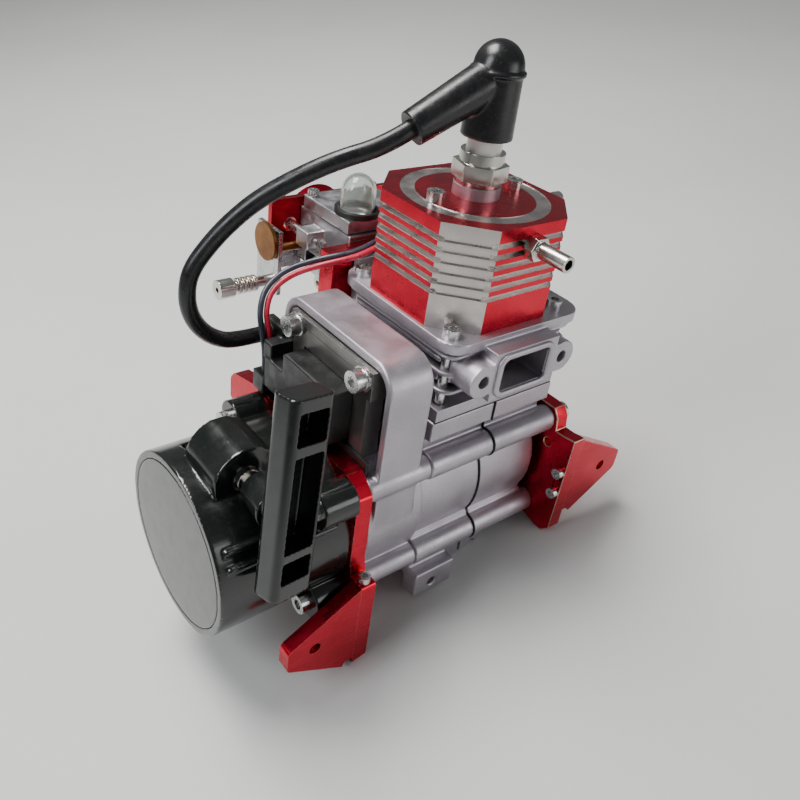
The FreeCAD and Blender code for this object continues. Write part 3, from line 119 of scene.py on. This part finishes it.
def surface(name, base, second, rough, metallic=0.0, patch=45.0, grain=2600.0, strength=0.2, depth=0.00006,
            stretch=None, coat=0.0, dust=0.0, speck=0.0):
    """The common finish: two tones in soft patches, uneven roughness, a fine grain, and dust or specks."""
    g = Graph(name)
    g.shader.inputs["Metallic"].default_value = metallic
    g.shader.inputs["Coat Weight"].default_value = coat
    g.shader.inputs["Coat Roughness"].default_value = 0.12
    colour = g.blend(g.spread(g.noise(patch, 5.0), 0.0, 1.0), base, second)
    fine = g.noise(grain, 2.0, stretch)
    if speck:
        colour = g.blend(g.spread(fine, 0.0, speck, 0.5, 0.75), colour, (0.9, 0.88, 0.9))
    roughness = g.spread(g.noise(patch * 3, 4.0, stretch), rough[0], rough[1])
    if dust:
        film = g.math("MULTIPLY", g.spread(g.noise(900.0, 6.0), 0.0, 1.0, 0.55, 0.8), dust)
        colour = g.blend(film, colour, (0.42, 0.42, 0.40))
        roughness = g.math("ADD", roughness, g.math("MULTIPLY", film, 0.5))
    g.wire(colour, "Base Color")
    g.wire(roughness, "Roughness")
    g.bump(fine, strength, depth)
    return g.material


def cut_metal(name, base, second, rough, lines=5200.0, direction=(0.06, 1, 1)):
    """Machined metal with fine tool lines along one direction."""
    return surface(name, base, second, rough, 1.0, 60.0, lines, 0.12, 0.00003, direction)


MATERIALS = {
    "cast_aluminium": surface(
        "cast_aluminium", (0.50, 0.46, 0.51), (0.41, 0.38, 0.42),
        (0.38, 0.52), 0.85, 38.0, 2600.0, 0.55, 0.00009, speck=0.30),
    "red_anodised": cut_metal("red_anodised", (0.66, 0.018, 0.045), (0.55, 0.012, 0.03), (0.22, 0.34)),
    # painted highlight: a lighter peach metal for bevel faces, standing in for the glints along the edges
    "bright_edge": cut_metal("bright_edge", (0.80, 0.62, 0.48), (0.70, 0.50, 0.38), (0.20, 0.34)),
    "zinc_steel": surface(
        "zinc_steel", (0.72, 0.72, 0.70), (0.58, 0.59, 0.58),
        (0.20, 0.36), 1.0, 300.0, 4000.0, 0.25, 0.00004),
    "bearing_steel": cut_metal("bearing_steel", (0.62, 0.62, 0.64), (0.52, 0.52, 0.54), (0.16, 0.26)),
    "forged_steel": surface(
        "forged_steel", (0.40, 0.40, 0.42), (0.30, 0.30, 0.31),
        (0.28, 0.45), 1.0, 90.0, 3000.0),
    "nickel": cut_metal(
        "nickel", (0.74, 0.72, 0.67), (0.60, 0.58, 0.53),
        (0.14, 0.28), 3800.0, (1, 1, 0.1)),
    "black_plastic": surface(
        "black_plastic", (0.004, 0.006, 0.005), (0.008, 0.010, 0.009),
        (0.14, 0.26), 0.0, 60.0, 1500.0, 0.06, 0.00006, coat=0.30, dust=0.03),
    "black_matt_plastic": surface(
        "black_matt_plastic", (0.006, 0.007, 0.007), (0.012, 0.013, 0.013),
        (0.34, 0.52), 0.0, 70.0, 2400.0, 0.20, 0.00006, dust=0.05),
    "black_rubber": surface(
        "black_rubber", (0.005, 0.005, 0.006), (0.010, 0.010, 0.011),
        (0.24, 0.38), 0.0, 80.0, 1300.0, 0.08, 0.00006, dust=0.05),
    "wire_black": surface(
        "wire_black", (0.030, 0.036, 0.052), (0.050, 0.056, 0.075),
        (0.26, 0.40), 0.0, 200.0),
    "wire_red": surface("wire_red", (0.62, 0.02, 0.06), (0.50, 0.012, 0.04), (0.24, 0.38), 0.0, 200.0),
    "paper_gasket": surface(
        "paper_gasket", (0.022, 0.022, 0.024), (0.04, 0.04, 0.042),
        (0.6, 0.8), 0.0, 300.0),
    "ceramic": surface(
        "ceramic", (0.86, 0.85, 0.80), (0.78, 0.77, 0.72),
        (0.10, 0.22), 0.0, 120.0, 800.0, 0.05, 0.00003, coat=0.5),
    "carb_zinc": surface(
        "carb_zinc", (0.60, 0.59, 0.61), (0.48, 0.47, 0.49),
        (0.30, 0.46), 1.0, 80.0, 2600.0, 0.4, 0.00008, speck=0.2),
    "magnet": surface("magnet", (0.06, 0.06, 0.065), (0.09, 0.09, 0.095), (0.4, 0.6), 0.3),
    "rope": surface(
        "rope", (0.70, 0.67, 0.60), (0.55, 0.52, 0.46),
        (0.7, 0.9), 0.0, 900.0, 4000.0, 0.6, 0.0002),
    "laminations": surface(
        "laminations", (0.30, 0.29, 0.28), (0.22, 0.21, 0.20),
        (0.35, 0.5), 1.0, 60.0, 5000.0, 0.6, 0.0001, (3, 0.1, 0.1)),
    "brass": surface("brass", (0.33, 0.15, 0.05), (0.22, 0.09, 0.03), (0.28, 0.45), 1.0, 90.0, 3000.0),
}


def clear_plastic():
    """The pump dome's clear moulding, a little hazy."""
    g = Graph("clear_plastic")
    haze = g.spread(g.noise(150.0, 4.0), 0.0, 1.0)
    g.wire(g.blend(haze, (0.90, 0.94, 0.90), (0.80, 0.86, 0.80)), "Base Color")
    g.wire(g.spread(g.noise(500.0, 3.0), 0.03, 0.12), "Roughness")
    g.shader.inputs["Transmission Weight"].default_value = 0.92
    g.shader.inputs["IOR"].default_value = 1.38
    g.bump(g.noise(260.0, 3.0), 0.12, 0.0002)
    return g.material


# the head's bare metal, in millimetres: heights above the crankshaft's axis and radii about the bore
GROOVES_LOW, GROOVES_HIGH = 94.05, 116.8
GROOVE_PITCH, GROOVE_WIDTH = 4.1, 2.2
RING_INNER, RING_OUTER, RING_LOW = 23.55, 29.15, 121.0


def head_red():
    """Red anodising that was cut through afterwards: bare metal shows in the grooves, on the planed
    corners and in the ring on top."""
    g = Graph("head_red")
    g.shader.inputs["Metallic"].default_value = 1.0
    place = g.node("ShaderNodeSeparateXYZ", Vector=g.coord.outputs["Object"])
    facing = g.node("ShaderNodeSeparateXYZ", Vector=g.coord.outputs["Normal"])
    height = g.math("MULTIPLY", place.outputs[2], 1000.0)
    across = g.math("MULTIPLY_ADD", place.outputs[0], 1000.0, SHIFT)
    along = g.math("MULTIPLY", place.outputs[1], 1000.0)
    in_pitch = g.math("MODULO", g.math("SUBTRACT", height, GROOVES_LOW), GROOVE_PITCH)
    above = g.math("GREATER_THAN", height, GROOVES_LOW)
    below = g.math("LESS_THAN", height, GROOVES_HIGH)
    in_band = g.math("MULTIPLY", above, below)
    grooves = g.math("MULTIPLY", g.math("LESS_THAN", in_pitch, GROOVE_WIDTH), in_band)
    slant = g.math("ABSOLUTE", g.math("MULTIPLY", facing.outputs[0], facing.outputs[1]))
    corner = g.math("GREATER_THAN", slant, 0.3)
    square = g.math("ADD", g.math("POWER", across, 2.0), g.math("POWER", along, 2.0))
    radius = g.math("SQRT", square)
    inside = g.math("LESS_THAN", radius, RING_OUTER)
    in_ring = g.math("MULTIPLY", g.math("GREATER_THAN", radius, RING_INNER), inside)
    ring = g.math("MULTIPLY", in_ring, g.math("GREATER_THAN", height, RING_LOW))
    bare = g.math("MINIMUM", g.math("ADD", g.math("ADD", grooves, corner), ring), 1.0)
    tone = g.spread(g.noise(50.0, 5.0), 0.0, 1.0)
    red = g.blend(tone, (0.70, 0.022, 0.050), (0.58, 0.014, 0.034))
    metal = g.blend(tone, (0.70, 0.65, 0.62), (0.58, 0.54, 0.52))
    g.wire(g.blend(bare, red, metal), "Base Color")
    lines = g.noise(4200.0, 2.0, (0.05, 0.05, 1))
    roughness = g.spread(g.noise(160.0, 4.0), 0.20, 0.34)
    g.wire(g.math("ADD", roughness, g.math("MULTIPLY", bare, 0.05)), "Roughness")
    g.bump(lines, 0.16, 0.00003)
    return g.material


MATERIALS["clear_plastic"] = clear_plastic()
MATERIALS["head_red"] = head_red()


# ---------------------------------------------------------------- pieces

def paint(node, material, edge=None):
    """Give a CAD node its finish, and close the seams its mesh came with."""
    obj = NODES[node]
    obj.data.materials.clear()
    obj.data.materials.append(MATERIALS[material])
    if edge:
        obj.data.materials.append(MATERIALS[edge])
    weld = obj.modifiers.new("Weld", "WELD")
    weld.merge_threshold = 2e-6
    return obj


def machined(node, width=0.35, edge=None, material=None, angle=35.0):
    """A CAD node with broken edges; where an edge material is named, its bevel faces take it as a painted
    highlight.
    """
    obj = paint(node, material or SLOT[node], edge)
    bevel = obj.modifiers.new("Bevel", "BEVEL")
    bevel.width = width * MM
    bevel.segments = 2
    bevel.limit_method = "ANGLE"
    bevel.angle_limit = math.radians(angle)
    bevel.use_clamp_overlap = True
    # the bevel faces take the second material, a painted highlight along the edges
    if edge:
        bevel.material = 1
    normals = obj.modifiers.new("Normals", "WEIGHTED_NORMAL")
    normals.weight = 60


def moulded(node, voxel, rounds, material=None):
    """A cast or moulded CAD node: its edges and inside corners flow into each other."""
    obj = paint(node, material or SLOT[node])
    remesh = obj.modifiers.new("Remesh", "REMESH")
    remesh.mode = "VOXEL"
    remesh.voxel_size = voxel * MM
    remesh.use_smooth_shade = True
    smooth = obj.modifiers.new("Smooth", "SMOOTH")
    smooth.iterations = rounds
    smooth.factor = 0.5


def settle(obj, name, slot, body, *replaced):
    """Name a piece, give it the body it rides on, and hide what it stands for; the slot it is given is not
    used.
    """
    obj.name = name
    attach(obj, body)
    if replaced:
        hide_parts(*replaced)
    return obj


def mesh_object(name, bm, material, smooth=True):
    data = bpy.data.meshes.new(name)
    bmesh.ops.recalc_face_normals(bm, faces=bm.faces)
    bm.to_mesh(data)
    bm.free()
    if smooth:
        for face in data.polygons:
            face.use_smooth = True
    obj = bpy.data.objects.new(name, data)
    bpy.context.scene.collection.objects.link(obj)
    data.materials.append(MATERIALS[material])
    return obj


def lead(name, points, radius, slot):
    """A free lead along its route, in place of the CAD's."""
    curve = bpy.data.curves.new(name, "CURVE")
    curve.dimensions = "3D"
    curve.bevel_depth = radius * MM
    curve.bevel_resolution = 8
    curve.resolution_u = 24
    curve.use_fill_caps = True
    spline = curve.splines.new("NURBS")
    spline.points.add(len(points) - 1)
    for spot, point in zip(spline.points, points):
        spot.co = (*point, 1.0)
    spline.order_u = 3
    spline.use_endpoint_u = True
    curve.materials.append(MATERIALS[slot])
    obj = bpy.data.objects.new(name, curve)
    bpy.context.scene.collection.objects.link(obj)
    settle(obj, name + "_run", slot, "engine", name)


def leads():
    """The spark lead and the two kill wires, on the routes the CAD gives them."""
    route = ((-33, 4, 147), (-42.9, 5.2, 141.6), (-57, 12, 136), (-68.5, 19, 128.5), (-79, 26.5, 119.5),
             (-87.5, 32.5, 109), (-94, 36.8, 98.8), (-99, 38.8, 90.2), (-100.6, 39, 81.3), (-99.4, 39, 72.9),
             (-95.4, 39, 65.4), (-89.1, 39, 59.7), (-81.2, 39, 56.5), (-66.5, 39, 56.5))
    lead("ignition_lead", [at(*point) for point in route], 3.3, "black_rubber")
    middle = ((-68, 33.8, 42), (-68, 33.8, 51), (-69.5, 34, 60), (-69.5, 37, 68.5), (-64, 42, 75),
              (-54, 43, 80), (-44, 36.3, 85.3), (-32.3, 30.5, 88.6), (-21, 34, 88.6), (-10.5, 38.5, 88.4), (-1, 39.9, 88.2),
              (8, 39.9, 88.2))
    spread = ((-1.5, 0, 0), (-1.5, 0, 0), (-1.5, 0.2, 0), (-1.3, 0.3, 0.6), (-0.8, 0.7, 0.9), (0, 1, 1),
              (0.4, 1.2, 0.7), (0.2, 1.4, 0.4), (-0.3, 1.5, 0.1), (-0.4, 1.8, 0), (0, 2.1, 0), (0, 2.1, 0))
    for side, colour in ((1, "black"), (-1, "red")):
        points = [at(*(m + side * s for m, s in zip(here, off))) for here, off in zip(middle, spread)]
        lead("kill_wire_" + colour, points, 1.2, "wire_" + colour)


def rounded_loop(low, high, radius, steps=8):
    """The corners of a rectangle with round corners, in its own plane, in millimetres."""
    points = []
    corners = (high[0], high[1]), (low[0], high[1]), (low[0], low[1]), (high[0], low[1])
    for turn, (x, y) in enumerate(corners):
        centre = (x - math.copysign(radius, x - (low[0] + high[0]) / 2),
                  y - math.copysign(radius, y - (low[1] + high[1]) / 2))
        for i in range(steps + 1):
            angle = math.pi / 2 * (turn + i / steps)
            points.append((centre[0] + radius * math.cos(angle), centre[1] + radius * math.sin(angle)))
    return points


def loft(bm, loops):
    """A closed skin over loops of equal length."""
    rings = [[bm.verts.new(point) for point in loop] for loop in loops]
    count = len(rings[0])
    for lower, upper in zip(rings, rings[1:]):
        for i in range(count):
            j = (i + 1) % count
            bm.faces.new((lower[i], lower[j], upper[j], upper[i]))
    return rings


def cooling_fins():
    """The thin fins between the cylinder's thick ones, with rounded rims."""
    bm = bmesh.new()
    for low in (57.4, 65.2, 72.9):
        loops = []
        for inset, height in ((0.8, 0.0), (0.2, 0.25), (0.0, 0.9), (0.2, 1.55), (0.8, 1.8)):
            outline = rounded_loop((-32.5 + inset, -34 + inset), (36.5 - inset, 30 - inset), 6 - inset)
            loops.append([at(x, y, low + height) for x, y in outline])
        rings = loft(bm, loops)
        bm.faces.new(rings[0][::-1])
        bm.faces.new(rings[-1])
    settle(mesh_object("thin_fins", bm, "cast_aluminium", False), "thin_fins", "cast_aluminium", "engine")


def exhaust_rim():
    """The raised rim round the exhaust port."""
    bm = bmesh.new()
    sections = ((0.0, -42.4), (0.1, -43.6), (0.5, -44.1), (2.0, -44.2), (2.6, -43.9), (2.9, -42.4))
    loops = []
    for grow, y in sections:
        outline = rounded_loop((-13.1 - grow, 59.9 - grow), (12.1 + grow, 74.1 + grow), 2.5 + grow)
        loops.append([at(x, y, z) for x, z in outline])
    rings = loft(bm, loops)
    for i in range(len(rings[0])):
        j = (i + 1) % len(rings[0])
        bm.faces.new((rings[-1][i], rings[-1][j], rings[0][j], rings[0][i]))
    settle(mesh_object("exhaust_rim", bm, "cast_aluminium"), "exhaust_rim", "cast_aluminium", "engine")


DOME_X, DOME_Y, DOME_FOOT = -12, 57, 94.4


def primer_dome():
    """The clear pump dome, which flattens towards its rim."""
    steps = 48
    turns = [2 * math.pi * i / steps for i in range(steps)]
    bm = bmesh.new()
    skins = []
    for inset in (0.0, 1.1):
        reach = 7.7 - inset
        profile = [(8.1 - inset, DOME_FOOT), (8.2 - inset, 95.2), (reach, 96.8)]
        for i in range(12):
            angle = math.pi / 2 * i / 12
            profile.append((reach * math.cos(angle), 103.6 + (reach + 0.2) * math.sin(angle)))
        loops = [[at(DOME_X + radius * math.cos(a), DOME_Y + radius * math.sin(a), height) for a in turns]
                 for radius, height in profile]
        rings = loft(bm, loops)
        bm.faces.new(rings[-1])
        skins.append(rings)
    outer, inner = skins[0][0], skins[1][0]
    for i in range(steps):
        j = (i + 1) % steps
        bm.faces.new((inner[i], inner[j], outer[j], outer[i]))
    dome = mesh_object("primer_dome", bm, "clear_plastic")
    settle(dome, "primer_dome", "clear_plastic", "engine", "primer_bulb")
    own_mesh(dome)


def finishes():
    """What each CAD node that stays in view looks like."""
    for node in ("crankcase_rear", "crankcase_front", "magneto_housing"):
        moulded(node, 0.55, 5)
    moulded("cylinder", 0.5, 3)
    for node in ("starter_housing", "starter_lid"):
        moulded(node, 0.5, 3)
    moulded("plug_cap", 0.4, 8)
    moulded("pull_handle", 0.4, 4)
    moulded("ignition_coil", 0.45, 5)
    for node in ("carb_body", "metering_cover", "insulator_block"):
        moulded(node, 0.4, 3)
    machined("water_head", 0.5, None, "head_red")
    # these get bevel faces in the lighter edge metal, a painted highlight along their edges
    for node in ("rear_mount_plate", "front_mount_plate", "rear_legs", "front_legs", "air_horn"):
        machined(node, 0.45, "bright_edge")
    done = {obj.name for obj in NODES.values() if obj.modifiers or obj.hide_render}
    for node in sorted(set(NODES) - done):
        machined(node, 0.2)


# ---------------------------------------------------------------- stage

def camera_and_stage():
    data = bpy.data.cameras.new("Camera")
    data.sensor_width = 36.0
    data.lens = 35.27
    data.clip_start = 0.01
    camera = bpy.data.objects.new("Camera", data)
    bpy.context.scene.collection.objects.link(camera)
    right = Vector((0.78088, -0.61184, 0.12604)).normalized()
    forward = Vector((0.56609, 0.60777, -0.55692)).normalized()
    up = right.cross(forward).normalized()
    turn = Matrix((right, up, -forward)).transposed().to_4x4()
    camera.matrix_world = Matrix.Translation(Vector((-0.25775, -0.20417, 0.21997))) @ turn
    bpy.context.scene.camera = camera

    # the engine stands on its rear legs and on the front plate's lower corners, so the floor slopes
    rear, front = at(-71, 0, -57.05), at(45, 0, -34.05)
    slope = math.atan2(front.z - rear.z, front.x - rear.x)
    bm = bmesh.new()
    bmesh.ops.create_grid(bm, x_segments=2, y_segments=2, size=30.0)
    floor = mesh_object("floor", bm, "floor", False)
    floor.matrix_world = Matrix.Translation((rear + front) / 2) @ Matrix.Rotation(-slope, 4, "Y")


def light(name, place, aim, size, power, tint=(1, 1, 1)):
    """A soft rectangular lamp that faces a point."""
    data = bpy.data.lights.new(name, "AREA")
    data.shape = "RECTANGLE"
    data.size = size[0]
    data.size_y = size[1]
    data.energy = power
    data.color = tint
    lamp = bpy.data.objects.new(name, data)
    bpy.context.scene.collection.objects.link(lamp)
    lamp.location = place
    lamp.rotation_euler = (Vector(aim) - Vector(place)).to_track_quat("-Z", "Y").to_euler()


def studio():
    world = bpy.data.worlds.new("World")
    bpy.context.scene.world = world
    world.use_nodes = True
    background = world.node_tree.nodes["Background"]
    background.inputs[0].default_value = (0.86, 0.88, 0.90, 1)
    background.inputs[1].default_value = 0.20
    middle = (-0.05, 0, 0.05)
    light("key", (-0.30, 0.35, 0.95), middle, (0.6, 0.4), 17.0, (1.0, 0.98, 0.96))
    light("side", (-0.95, 0.10, 0.55), middle, (0.35, 0.6), 6.5, (0.96, 0.98, 1.0))
    light("fill", (0.40, -0.85, 0.30), middle, (0.6, 0.4), 2.5)


MATERIALS["floor"] = surface(
    "floor", (0.62, 0.63, 0.62), (0.58, 0.59, 0.58),
    (0.7, 0.85), 0.0, 3.0, 900.0, 0.1, 0.0002)


def main():
    leads()
    cooling_fins()
    exhaust_rim()
    primer_dome()
    finishes()
    camera_and_stage()
    studio()


main()
